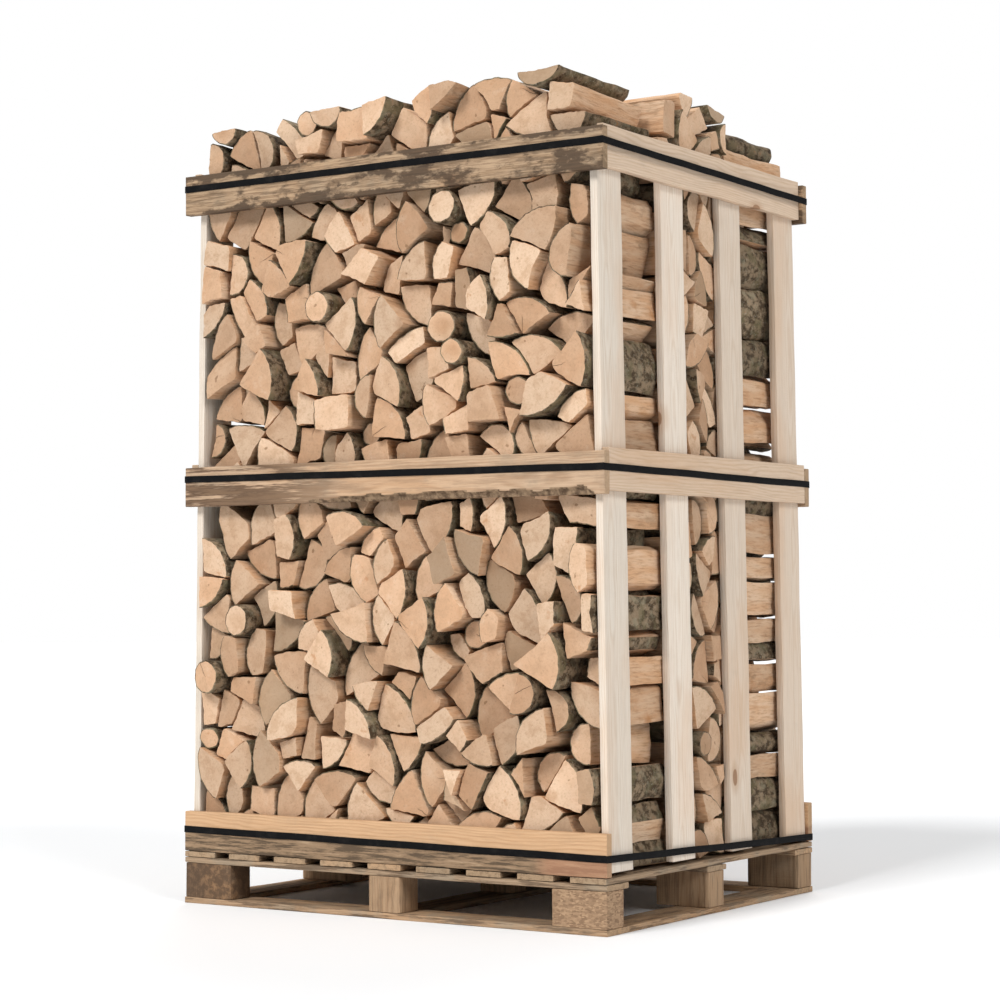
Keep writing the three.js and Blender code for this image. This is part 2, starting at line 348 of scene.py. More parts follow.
# %% Finish of the logs
SAWN = {
    "cream": (0.690, 0.505, 0.355), "peach": (0.590, 0.355, 0.212), "smear": (0.475, 0.295, 0.175),
    "clean": (0.700, 0.525, 0.385), "ring": (0.44, 0.27, 0.15), "saw mark": (0.38, 0.225, 0.125),
    "heart": (0.38, 0.195, 0.09), "pore": (0.35, 0.22, 0.125), "torn": (0.42, 0.185, 0.070),
    "weathered": (0.25, 0.175, 0.105), "crack": (0.13, 0.075, 0.035), "spot": (0.22, 0.115, 0.05),
}
SPLIT = {
    "orange": (0.560, 0.315, 0.165), "pale": (0.680, 0.500, 0.350), "fibre": (0.335, 0.175, 0.080),
    "resin": (0.43, 0.185, 0.06), "grime": (0.25, 0.155, 0.085),
}
BARK = {
    "furrow": (0.060, 0.039, 0.021), "ridge": (0.250, 0.182, 0.115), "lichen": (0.250, 0.226, 0.152),
    "moss": (0.140, 0.116, 0.060), "crust": (0.33, 0.31, 0.25), "inner": (0.33, 0.165, 0.07),
}
RING_WAVES, SAW_WAVES = 2100, 3300          # radians a metre
LOG_RELIEF = 0.0022


def log_finish():
    f = Finish("split_log_wood", 0.85)
    grain = f.attribute("grain").outputs["Vector"]
    across, deep, _ = f.parts(grain)
    warm, shade, odd = f.parts(f.attribute("tone").outputs["Vector"])
    skin = f.value("ShaderNodeAttribute", {"attribute_name": "skin"}, None, 2)
    cloud = f.noise(grain, 14, 4)
    fine = f.noise(grain, 190, 3, 0.6)
    fibre = f.noise(grain, 34, 4, 0.6, (6, 6, 0.7))
    broad_fibre = f.noise(grain, 9, 3, 0.55, (5, 5, 0.8))
    # sawn ends
    reach = (across * across + deep * deep).root()
    rings = ((reach + cloud * 0.010) * RING_WAVES).wave() * 0.5 + 0.5
    heart = reach.rise(0.040, 0.008) * odd.rise(0.45, 0.95)
    smear = f.noise(grain, 26, 5, 0.68, (1, 1, 0.4))
    turn = warm * 3.0 + odd * 3.0
    sweep = across * turn.wave() + deep * (turn + 1.571).wave()
    saw = ((sweep + reach * reach * 1.2 + smear * 0.004) * SAW_WAVES).wave() * 0.5 + 0.5
    end = f.mix(warm * 1.1 - 0.1 + (cloud - 0.5) * 1.2, SAWN["cream"], SAWN["peach"])
    end = f.mix(smear.rise(0.46, 0.66) * 0.55, end, SAWN["smear"])
    end = f.mix(smear.rise(0.44, 0.30) * 0.45, end, SAWN["clean"])
    end = f.mix(rings * 0.26, end, SAWN["ring"])
    end = f.mix(saw * fine.rise(0.3, 0.7) * 0.30, end, SAWN["saw mark"])
    end = f.mix(heart * 0.50, end, SAWN["heart"])
    end = f.mix(fine.rise(0.55, 0.74) * 0.40, end, SAWN["pore"])
    torn = f.noise(grain, 17, 4, 0.7).rise(0.62, 0.70)
    end = f.mix(torn * shade.rise(0.4, 0.9) * 0.55, end, SAWN["torn"])
    weather = odd.rise(0.10, 0.02)
    end = f.mix(weather * 0.55, end, SAWN["weathered"])
    angle = f.value("ShaderNodeMath", {"operation": "ARCTAN2"}, {0: across, 1: deep}) + (cloud - 0.5) * 0.9
    crack_at = (angle - (shade - 0.5) * 2.4).size() * reach
    crack = crack_at.rise(0.0009, 0.0003) * reach.rise(0.052, 0.030) * warm.rise(0.72, 0.80)
    end = f.mix(crack * 0.7, end, SAWN["crack"])
    spots = f.noise(grain, 60, 1, 0.4).rise(0.74, 0.80)
    end = f.mix(spots * 0.65, end, SAWN["spot"])
    # split faces
    split = f.mix(broad_fibre.rise(0.32, 0.72) * 0.6 + warm * 0.4, SPLIT["orange"], SPLIT["pale"])
    split = f.mix(fibre.rise(0.46, 0.72) * 0.65, split, SPLIT["fibre"])
    split = f.mix(cloud.rise(0.56, 0.74) * odd.rise(0.3, 0.8) * 0.7, split, SPLIT["resin"])
    split = f.mix(smear.rise(0.52, 0.70) * shade.rise(0.8, 0.3) * 0.6, split, SPLIT["grime"])
    # bark
    lichen = f.noise(grain, 30, 4, 0.62).rise(0.50, 0.66)
    patch = f.noise(grain, 55, 4, 0.66, (1, 1, 0.7))
    bark = f.mix(patch.rise(0.40, 0.60), BARK["furrow"], BARK["ridge"])
    bark = f.mix(lichen * 0.50, bark, BARK["lichen"])
    bark = f.mix(f.noise(grain, 22, 2).rise(0.52, 0.64) * 0.6, bark, BARK["moss"])
    bark = f.mix(fine.rise(0.60, 0.68) * 0.5, bark, BARK["crust"])
    bark = f.mix(patch.rise(0.66, 0.72) * 0.8, bark, BARK["inner"])
    is_split, is_bark = skin.rise(0.4, 0.6), skin.rise(1.4, 1.6)
    colour = f.mix(is_bark, f.mix(is_split, end, split), bark)
    lift = f.mix(shade, (0.76, 0.74, 0.72), (1.13, 1.13, 1.13))
    colour = f.mix(1.0, colour, lift, "MULTIPLY")
    sawn_relief = fine * 0.30 + rings * 0.08 + saw * 0.12 + smear * 1.2 - crack * 1.5
    split_relief = fibre * 1.5 + fine * 0.3
    bark_relief = patch * 2.2 + fine * 0.6
    relief = sawn_relief * (1 - is_split) + split_relief * (is_split - is_bark) + bark_relief * is_bark
    f.bump(relief, LOG_RELIEF)
    return f.paint(colour, 0.74 + is_bark * 0.12 + fine * 0.12)


log_wood = log_finish()
print("log wood:", len(log_wood.node_tree.nodes), "nodes")

# %% [markdown]
# Cross-sections. An axe leaves few shapes: sectors with bark on the arc, halves, whole branches, blocks
# from the middle of a trunk, slivers and slabs. Each is drawn here as a few corners joined by bowed sides.
# Scanned logs could be used instead, but drawn ones can be as many and as different as the stack needs.

# %% Cross-sections of the logs
POINTS = 36                                 # points round a log's cross-section
BOW_SPREAD = 0.026                          # how far split faces bow, as a share of their length
ROUND_BOW = 0.207                           # the bow of a quarter circle
SHARES = {"wedge": 0.50, "half": 0.09, "round": 0.05, "block": 0.16, "sliver": 0.12, "slab": 0.08}


def log_corners(kind, rng):
    """Corners of a cross-section, anticlockwise, with the pith at the origin. All sizes are in metres.

    Returns them with two numbers for the edge that leaves each corner: its bulge, which is the height of
    its bow as a share of its length, and whether it carries bark.
    """
    def wobble():
        return rng.normal(0, BOW_SPREAD)

    if kind == "wedge":                     # a sector: two split faces meet near the pith, bark on the arc
        angle = np.radians(rng.uniform(48, 105))
        radius = min(rng.uniform(0.080, 0.122), 0.155 / angle)
        arms = np.array([[np.sin(angle / 2), np.cos(angle / 2)], [-np.sin(angle / 2), np.cos(angle / 2)]])
        arms *= radius * rng.uniform(0.92, 1.03, (2, 1))
        bow = (1 - np.cos(angle / 2)) / (2 * np.sin(angle / 2)) * rng.uniform(0.75, 1.0)
        blunt = rng.choice([0.0, 0.0, 0.14, 0.30])
        if blunt == 0.0:
            return [np.zeros(2), arms[0], arms[1]], [wobble(), bow, wobble()], [0, 1, 0]
        near = arms * blunt * rng.uniform(0.7, 1.3, (2, 1))
        return [near[1], near[0], arms[0], arms[1]], [wobble(), wobble(), bow, wobble()], [0, 0, 1, 0]
    if kind == "half":                      # a thin round split once
        angle = np.radians(rng.uniform(74, 98))
        radius = rng.uniform(0.044, 0.064)
        ends = np.array([[-np.sin(angle), np.cos(angle)], [np.sin(angle), np.cos(angle)]]) * radius
        bow = (1 - np.cos(angle / 2)) / (2 * np.sin(angle / 2))
        return [ends[0], ends[1], np.array([0, radius])], [wobble(), bow, bow], [0, 1, 1]
    if kind == "round":                     # a branch, left whole
        turns = np.radians([0, 90, 180, 270])
        size = np.array([1, rng.uniform(0.86, 1.0)]) * rng.uniform(0.028, 0.042)
        return list(np.stack([np.cos(turns), np.sin(turns)], 1) * size), [ROUND_BOW] * 4, [1] * 4
    if kind == "block":                     # split from the middle of a trunk
        across, high = rng.uniform(0.055, 0.098), rng.uniform(0.045, 0.085)
        top_right, top_left = rng.uniform(0.25, 0.5), -rng.uniform(0.25, 0.5)
        square = np.array([[-0.5, -0.5], [0.5, -0.5], [top_right, 0.5], [top_left, 0.5]])
        place = square * [across, high] + rng.uniform(-0.014, 0.014, (4, 2)) + [0, rng.uniform(0.06, 0.10)]
        return list(place), [wobble() for _ in range(4)], [0, 0, int(rng.random() < 0.35), 0]
    if kind == "sliver":                    # a thin piece split off a wedge
        across, high = rng.uniform(0.060, 0.110), rng.uniform(0.030, 0.062)
        slant, peak = rng.uniform(-0.01, 0.01), rng.uniform(-0.3, 0.3) * across
        place = np.array([[-across / 2, 0], [across / 2, slant], [peak, high]])
        return list(place + [0, 0.05]), [wobble() for _ in range(3)], [0, int(rng.random() < 0.4), 0]
    across, deep = rng.uniform(0.080, 0.122), rng.uniform(0.030, 0.050)   # a slab from a trunk's side
    foot = across * rng.uniform(0.30, 0.46, 2)
    place = np.array([[-foot[0], -deep / 2], [foot[1], -deep / 2],
                      [across / 2, deep / 3], [-across / 2, deep / 3]])
    return list(place + [0, 0.08]), [wobble(), 0.0, rng.uniform(0.1, 0.22), 0.0], [0, 0, 1, 0]


def log_outline(kind, rng):
    """POINTS points round a log's cross-section and, for each edge between them, whether it is bark.

    Each side is a parabola: corner + t * side + 4 t (1 - t) * bulge * side turned outwards. Each point is
    then averaged with its two neighbours, at 1 to 4 to 1, which rounds the corners.
    """
    corners, bulges, barks = log_corners(kind, rng)
    corners = np.array(corners)
    sides = np.roll(corners, -1, 0) - corners
    lengths = np.linalg.norm(sides, axis=1) * (1 + np.abs(bulges))
    counts = np.maximum(3, np.round(POINTS * lengths / lengths.sum()).astype(int))
    while counts.sum() > POINTS:
        counts[np.argmax(counts)] -= 1
    while counts.sum() < POINTS:
        counts[np.argmax(lengths / counts)] += 1
    owner = np.repeat(np.arange(len(corners)), counts)
    t = np.concatenate([np.arange(n) / n for n in counts])[:, None]
    outward = np.stack([sides[:, 1], -sides[:, 0]], 1) * np.array(bulges)[:, None]
    points = corners[owner] + t * sides[owner] + 4 * t * (1 - t) * outward[owner]
    points = (np.roll(points, 1, 0) + 4 * points + np.roll(points, -1, 0)) / 6
    return points, np.array(barks)[owner] > 0


print(len(SHARES), "kinds of log")

# %% [markdown]
# The stack. A person fills the lowest spot with the piece that fits it best. The code does the same: it
# tries many pieces at many angles in the lowest spot and keeps the one that traps the least air. A
# physics simulation would leave looser heaps. The heap's upper edge, its skyline, is kept as one height
# for each narrow column, so that a log is tried by subtracting two arrays.

# %% Dropping a log on the skyline
CELL = 0.003                                # width of the skyline's columns
AIR = 0.0016                                # air kept round each log
NOWHERE = 9                                 # a height above every heap
TOUCH = 0.0035                              # two edges this near to each other touch
OVERSHOOT = 0.015                           # a log may rise this far above the heap's line
BALANCE = 0.02                              # its supports stand at least this share of its width apart


def turned(points, angle):
    """Points in a plane, turned about the origin."""
    c, s = np.cos(angle), np.sin(angle)
    return points @ np.array([[c, s], [-s, c]])


def silhouettes(points):
    """Lower and upper edge of a cross-section over each column that it covers, with air round it.

    Both are measured from the lower left corner of its bounding box.
    """
    start = points - points.min(0)
    end = np.roll(start, -1, 0)
    columns = int(np.ceil(start[:, 0].max() / CELL)) + 1
    x = np.arange(columns) * CELL
    run = end[:, 0] - start[:, 0]
    slope = (end[:, 1] - start[:, 1]) / np.where(np.abs(run) > 1e-9, run, 1)
    height = start[:, 1] + (x[:, None] - start[:, 0]) * slope
    over = x[:, None] >= np.minimum(start[:, 0], end[:, 0])
    over &= x[:, None] <= np.maximum(start[:, 0], end[:, 0])
    over &= np.abs(run) > 1e-9
    low = np.where(over, height, NOWHERE).min(1)
    high = np.where(over, height, -NOWHERE).max(1)
    tip = start[np.argmax(start[:, 0]), 1]
    missed = low >= NOWHERE
    return np.where(missed, tip, low) - AIR, np.where(missed, tip, high) + AIR


def windows(row, size):
    """Every run of `size` neighbours in a row, as a view."""
    return np.lib.stride_tricks.sliding_window_view(row, size)


def slots(skyline, width=15):
    """Area of the gaps in a skyline that are too narrow for another log: its closing less itself."""
    walls = np.pad(skyline, width, constant_values=skyline.max() + 0.2)
    closed = windows(windows(walls, width).max(1), width).min(1)[1:len(skyline) + 1]
    return np.clip(closed - skyline, 0, 0.1).sum() * CELL


def rest_on(skyline, ceiling, column, points):
    """The best place to drop a cross-section so that it covers `column`: it is held up on both sides of
    its middle and traps the least air.

    Returns (share of air trapped, first column, height, upper edge, area), or None.
    """
    low, high = silhouettes(points)
    size, count = len(low), len(skyline)
    first, last = max(0, column - size + 1), min(column, count - size)
    if last < first:
        return None
    under = windows(skyline[first:last + size], size)
    drop = (under - low).max(1)
    air = drop[:, None] + low - under
    touching = air < TOUCH
    left, right = touching.argmax(1), size - 1 - touching[:, ::-1].argmax(1)
    middle = (points[:, 0].mean() - points[:, 0].min()) / CELL
    allowed = windows(ceiling[first:last + size], size).mean(1) + OVERSHOOT
    good = (left < middle - BALANCE * size) & (right > middle + BALANCE * size)
    good &= drop + high.max() <= allowed
    if not good.any():
        return None
    area = (high - low).sum() * CELL
    share = np.where(good, air.sum(1) * CELL / area, np.inf)
    best = int(share.argmin())
    return share[best], first + best, drop[best], high, area


print("columns", CELL, "m wide,", AIR, "m of air round a log")

# %% [markdown]
# Choosing the log. Trapped air alone is not enough: a log can lie snugly and still leave a slot beside it
# that no later log fills, so narrow slots count as waste too. A spot where the best log wastes too much
# stays a dark pocket, as in a real stack. The same seed always gives the same stack.

# %% Stacking by best fit
POOL, TRIES = 360, 110                      # logs to choose from, and tries for each spot
PROMISING, COMPARED = 4, 20                 # how many tries are nudged, and how many compared in full
NUDGES = (-0.14, -0.07, 0.07, 0.14)         # radians
WASTE = 0.5                                 # a pocket is better than a log that wastes this share of itself
CREST = 0.13                                # thin pieces are not laid this close under the top of the heap
POCKET_LIMIT = 0.1                          # no pocket is left this close under the top
LEDGE = 0.012                               # columns this much above the lowest belong to the same spot
LAST_GAP = 0.03                             # a gap no deeper than this under the top needs no log


def stack_logs(width, ceiling_at, seed):
    """Stacks cross-sections in a bin `width` wide, up to ceiling_at(x), as a person does by hand.

    Each step finds the lowest spot, tries many logs there at many angles, and keeps the one that traps
    the least air and leaves the least area in narrow slots.
    Returns a list of (outline, outline about the pith, bark flags).
    """
    rng = np.random.default_rng(seed)
    count = int(width / CELL)
    skyline = np.zeros(count)
    ceiling = ceiling_at((np.arange(count) + 0.5) * CELL)
    kinds = rng.choice(list(SHARES), POOL, p=list(SHARES.values()))
    shelf = [log_outline(kind, rng) for kind in kinds]
    full = np.zeros(count, bool)
    stacked = []
    while not full.all():
        column = int(np.where(full, NOWHERE, skyline).argmin())
        found = []
        for pick, angle, size in zip(rng.integers(0, POOL, TRIES), rng.uniform(0, TURN, TRIES),
                                     rng.uniform(0.92, 1.06, TRIES)):
            if skyline[column] > ceiling[column] - CREST and kinds[pick] in ("sliver", "slab"):
                continue
            spot = rest_on(skyline, ceiling, column, turned(shelf[pick][0] * size, angle))
            if spot:
                found.append((spot[0], pick, angle, size, spot))
        found.sort(key=lambda item: item[0])
        for _, pick, angle, size, _ in found[:PROMISING]:
            for nudge in NUDGES:
                spot = rest_on(skyline, ceiling, column, turned(shelf[pick][0] * size, angle + nudge))
                if spot:
                    found.append((spot[0], pick, angle + nudge, size, spot))
        found.sort(key=lambda item: item[0])
        best = None
        for share, pick, angle, size, spot in found[:COMPARED]:
            after = skyline.copy()
            reach = slice(spot[1], spot[1] + len(spot[3]))
            after[reach] = np.maximum(after[reach], spot[2] + spot[3])
            cost = share + (slots(after) - slots(skyline)) / spot[4]
            if best is None or cost < best[0]:
                best = (cost, pick, angle, size, spot, after)
        if best is None or (best[0] > WASTE and skyline[column] < ceiling[column] - POCKET_LIMIT):
            ledge = skyline <= skyline[column] + LEDGE
            first = column - int(np.argmin(ledge[column::-1])) + 1 if not ledge[:column + 1].all() else 0
            last = column + int(np.argmin(ledge[column:])) if not ledge[column:].all() else count
            walls = [skyline[i] for i in (first - 1, last) if 0 <= i < count]
            level = min(walls, default=NOWHERE) + MM
            if level > ceiling[column] - LAST_GAP:
                full[first:last] = True
            else:
                skyline[first:last] = np.maximum(skyline[first:last], level)
            continue
        _, pick, angle, size, spot, skyline = best
        about_pith = shelf[pick][0] * size
        outline = turned(about_pith, angle)
        outline = outline - outline.min(0) + [spot[1] * CELL, spot[2]]
        stacked.append((outline, about_pith, shelf[pick][1]))
    return stacked


print(TRIES, "tries for each spot")

# %% [markdown]
# The log's body. A split log is one cross-section drawn out along the fibres, so each log is a set of
# rings: the sawn end, a thin rim, a few stations along the length, and the other end. It tapers a little,
# bows a little, and its ends are not quite square to it. Low waves on the sides copy torn fibres and
# ridged bark. All logs of a row share one layout of rings, so the whole row is worked out in one go.

# %% Log surfaces
TAPER = 0.09                                # the thinner end is up to this share smaller
BOW, LEAN = 0.9 * MM, 2.4 * MM              # spread of the bow and of the lean
END_SLOPE = 0.075                           # spread of the slope of the sawn ends
STATIONS = np.array([0, 0, 0, 0.07, 0.21, 0.36, 0.50, 0.64, 0.79, 0.93, 1, 1, 1])
STEP_IN = np.array([3.0, 0.8, 0, 0, 0, 0, 0, 0, 0, 0, 0, 0.8, 3.0]) * MM          # rim of the sawn ends
STEP_ALONG = np.array([0, 0, 1.1, 0, 0, 0, 0, 0, 0, 0, -1.1, 0, 0]) * MM


def log_surfaces(stack, near, far, near_limit, far_limit, rng):
    """Surfaces of many logs, as points (across, up, along), their grain, tone and skin, and faces.

    A point is centre + (outline - centre) * taper + bow * 4 t (1 - t) + lean * (t - 1/2), moved inwards by
    the waves; t runs from 0 to 1 along the log. Each end plane is tilted by slope . (outline - centre).
    """
    outline, pith, bark = (np.array([log[i] for log in stack]) for i in range(3))
    count, rings = len(outline), len(STATIONS)
    centre = outline.mean(1, keepdims=True)
    spoke = outline - centre
    radius = np.linalg.norm(spoke, axis=2)
    t = STATIONS[None, :, None]
    length = (far - near)[:, None, None]
    girth = np.cumsum(np.linalg.norm(np.roll(outline, 1, 1) - outline, axis=2), 1)[:, None, :]
    split_wave = ripple(girth, t * length, (0.026, 0.012, 0.045), (0.9, 0.30, 0.5), 0.62 * MM, rng)
    bark_wave = ripple(girth, t * length, (0.045, 0.024), (0.16, 0.09), 0.7 * MM, rng)
    swell = ripple(girth, t * length, (0.11, 0.19), (0.17, 0.30), 1.5 * MM, rng) + 1.5 * MM
    barky = (bark + np.roll(bark, 1, 1))[:, None, :] > 0
    depth = np.where(barky, bark_wave + 1.0 * MM, split_wave + 1.1 * MM) + STEP_IN[None, :, None]
    depth = depth + swell * np.minimum(4 * t, 4 - 4 * t).clip(0, 1)
    shrink = 1 - rng.uniform(0, TAPER, (count, 1, 1)) * np.where(rng.random((count, 1, 1)) < 0.75, t, 1 - t)
    scale = shrink - depth / radius[:, None, :]
    bow = rng.normal(0, BOW, (count, 1, 1, 2)) * (4 * t * (1 - t))[..., None]
    lean = rng.normal(0, LEAN, (count, 1, 1, 2)) * (t - 0.5)[..., None]
    section = centre[:, None] + spoke[:, None] * scale[..., None] + bow + lean
    slopes = rng.normal(0, END_SLOPE, (count, 2, 2))
    tilt_near = np.einsum("lnk,lk->ln", spoke, slopes[:, 0])[:, None, :] * (1 - t)
    tilt_far = np.einsum("lnk,lk->ln", spoke, slopes[:, 1])[:, None, :] * t
    along = near[:, None, None] + t * length + STEP_ALONG[None, :, None] + tilt_near + tilt_far
    along = np.clip(along, near_limit[:, None, None], far_limit[:, None, None])
    body = np.concatenate([section, along[..., None]], 3).reshape(count, -1, 3)
    about = pith.mean(1, keepdims=True) + (pith - pith.mean(1, keepdims=True)) * scale.mean(1)[..., None]
    cross = about[:, None] * np.ones((1, rings, 1, 1))
    grain = np.concatenate([cross, along[..., None]], 3).reshape(count, -1, 3)
    n = POINTS
    poles = [body[:, :n].mean(1, keepdims=True), body[:, -n:].mean(1, keepdims=True)]
    grain_poles = [grain[:, :n].mean(1, keepdims=True), grain[:, -n:].mean(1, keepdims=True)]
    points = np.concatenate([body, *poles], 1)
    grain = np.concatenate([grain, *grain_poles], 1) + [0, 0, 1] * rng.uniform(0, 40, (count, 1, 1))
    tone = np.repeat(rng.random((count, 1, 3)), points.shape[1], 1)
    quads, triangles = ring_faces(count, rings, n)
    side = np.where(bark, 2.0, 1.0)[:, None, :].repeat(rings - 1, 1)
    side[:, [0, -1]] = np.where(bark, 2.0, 0.0)[:, None, :]
    return points, grain, tone, side.reshape(-1), quads, triangles


def logs_to_piece(name, surfaces, chosen, axes, node):
    """The chosen logs as one mesh; `axes` says which frame axis each of (across, up, along) becomes."""
    points, grain, tone, side, quads, triangles = surfaces
    each, picked = points.shape[1], np.flatnonzero(chosen)
    renumber = np.zeros(len(points), int)
    renumber[picked] = np.arange(len(picked))

    def kept(faces):
        own = faces[chosen[faces[:, 0] // each]]
        return renumber[own // each] * each + own % each

    placed = np.empty((len(picked) * each, 3))
    placed[:, axes] = points[picked].reshape(-1, 3)
    quads_kept, triangles_kept = kept(quads), kept(triangles)
    skin = np.concatenate([side[chosen[quads[:, 0] // each]], np.zeros(len(triangles_kept))])
    piece = new_piece(name, placed, quads_kept, triangles_kept, grain[picked].reshape(-1, 3),
                      tone[picked].reshape(-1, 3), skin, log_wood)
    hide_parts(node)
    return piece


print(len(STATIONS) * POINTS + 2, "points a log")

# %% [markdown]
# Where the rows stand. The logs are about a third of a metre long and stand three deep. The front and the
# back row point to the front and the back, and the logs between them lie crosswise in three columns, so
# their ends show through the slatted sides. The side panels lean in a little towards the top, and each
# row is stacked in a straight bin and then narrowed with them.

# %% Room for the logs
deck_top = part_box("deck_board_5")[1].z
top_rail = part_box("front_rail_top")
PLAY = 1.5 * MM                             # room kept between logs and boards
BIN = 0.555                                 # half width of the straight bin
slats_right = [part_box(f"right_slat_{i}") for i in (1, 2, 3, 4)]
SLAT_THICK = 20 * MM


def inside_at(z):
    """Half the room between the side panels at height z."""
    low, high = slats_right[1]
    lean = (high.x - low.x - SLAT_THICK) / (high.z - low.z)
    return low.x + (high.z - z) * lean


def heap_line(name, axis):
    """The top of a CAD heap as a function of place along x (axis 0) or y (axis 1)."""
    corners = np.array([v.co for v in nodes[name].data.vertices])
    crest = corners[corners[:, 2] > top_rail[1].z + 6 * MM]
    places = np.unique(crest[:, axis].round(4))
    heights = [crest[np.abs(crest[:, axis] - place) < MM, 2].max() for place in places]
    return lambda x: np.interp(x, places, heights) - deck_top - PLAY


front_heap, back_heap = heap_line("front_row_of_logs", 0), heap_line("back_row_of_logs", 0)
print("half room at deck and at top:", round(inside_at(deck_top), 4), round(inside_at(top_rail[1].z), 4))

# %% [markdown]
# Sharing out the room beside the walls. Best fit leaves uneven gaps beside the walls of the bin, where
# real logs would be pushed up against the slats. So the logs near a wall are spread sideways a little,
# and the ones next to it take most of the way.

# %% Room beside the walls
SPREAD = 0.30                               # the logs this near to a wall share out the room beside it
BAND = 0.03                                 # height of the bands in which that room is measured


def wall_gaps(outlines):
    """Room between the logs and the left and the right wall of the bin, as two functions of height."""
    points = np.concatenate(outlines)
    band = (points[:, 1] / BAND).astype(int)
    levels = np.unique(band)
    left = np.array([points[band == level, 0].min() for level in levels])
    right = np.array([2 * BIN - points[band == level, 0].max() for level in levels])
    gaps = []
    for room in (left, right):
        least = windows(np.pad(room, 1, "edge"), 3).min(1)
        gaps.append(windows(np.pad(least, 1, "edge"), 3).mean(1))
    middles = (levels + 0.5) * BAND
    return lambda z: np.interp(z, middles, gaps[0]), lambda z: np.interp(z, middles, gaps[1])


print("gaps measured in bands", BAND, "m high")

# %% [markdown]
# Front and back rows. Their ends make the two faces of the crate, so no two are flush. Most stand back a
# little behind the rails and some stand out between them. A seed for each row fixes which logs it has.

# %% Front and back rows
SEEDS = {"front": 41, "back": 47, "left": 31, "centre": 22, "right": 39}
FAR_END = 0.174                             # the hidden ends, from the middle of the crate
TIP, TIP_SPREAD = 0.484, 0.020              # the visible ends, from the middle of the crate
TIP_LEAST, TIP_MOST = 0.440, 0.519
LIMIT_BEHIND, LIMIT_OPEN = 0.4745, 0.521    # how far out they may reach behind a rail and between rails


def long_row(side, heap):
    """The front (side -1) or back (side 1) row: its stack in the bin, narrowed to the leaning panels."""
    seed = SEEDS["front" if side < 0 else "back"]
    stack = stack_logs(2 * BIN, lambda x: heap(x - BIN), seed)
    rng = np.random.default_rng(seed + 100)
    placed = []
    left_gap, right_gap = wall_gaps([log[0] for log in stack])
    for outline, pith, bark in stack:
        x, height = outline[:, 0], outline[:, 1]
        x = (x - left_gap(height) * np.clip(1 - x / SPREAD, 0, 1)
             + right_gap(height) * np.clip(1 - (2 * BIN - x) / SPREAD, 0, 1))
        z = height + deck_top + PLAY
        x = (np.clip(x, 0, 2 * BIN) - BIN) * (inside_at(z) - PLAY) / BIN
        if np.abs(x).max() > inside_at(z.mean()) - 8 * MM:      # logs at the panels stand back unevenly
            inner = x[np.abs(x).argmin()]
            x = inner + (x - inner) * rng.uniform(0.91, 1.0)
        placed.append((np.stack([x, z], 1), pith, bark))
    low = np.array([log[0][:, 1].min() for log in placed])
    high = np.array([log[0][:, 1].max() for log in placed])
    behind = np.zeros(len(placed), bool)
    for level in ("bottom", "middle", "top"):
        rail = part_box(f"front_rail_{level}")
        behind |= (low < rail[1].z + MM) & (high > rail[0].z - MM)
    tips = np.clip(rng.normal(TIP, TIP_SPREAD, len(placed)), TIP_LEAST, TIP_MOST)
    limit = np.where(behind, LIMIT_BEHIND, LIMIT_OPEN)
    tips = np.minimum(tips, limit - rng.uniform(0, 10, len(placed)) * MM)
    ends = FAR_END + np.abs(rng.normal(0, 4 * MM, len(placed)))
    if side < 0:
        near, far, limits = -tips, -ends, (-limit, np.full(len(placed), -FAR_END))
    else:
        near, far, limits = ends, tips, (np.full(len(placed), FAR_END), limit)
    return log_surfaces(placed, near, far, *limits, rng), low


def in_layers(name, surfaces, low, cuts, node):
    """Makes one piece of the logs between each pair of heights, so that no piece is too heavy."""
    for number, (start, stop) in enumerate(zip(cuts[:-1], cuts[1:]), 1):
        chosen = (low >= start) & (low < stop)
        piece = logs_to_piece(f"{name}_{number}", surfaces, chosen, [0, 2, 1], node)
        print(piece.name, int(chosen.sum()), "logs")


LAYERS = (0, 0.7, 1.3, 3)
in_layers("front_logs", *long_row(-1, front_heap), LAYERS, "front_row_of_logs")
in_layers("back_logs", *long_row(1, back_heap), LAYERS, "back_row_of_logs")

# %% [markdown]
# Crosswise logs. Three columns of logs lie along the crate's width between the two rows. Behind a slat
# their ends stop at the slat. Between the two middle slats and above the top rail nothing stops them, so
# some stand out.

# %% Crosswise logs
COLUMN_WIDTH = 0.330
CROSS_LENGTH = (0.300, 0.330)
OVERHANG, UNEVEN = 18 * MM, 12 * MM         # how far free ends may stand out, and how unevenly
INNER_END = 0.2015                          # hidden ends of the outer columns, from the middle
CENTRE_HALF = (0.155, 0.170)                # half lengths of the centre column's logs


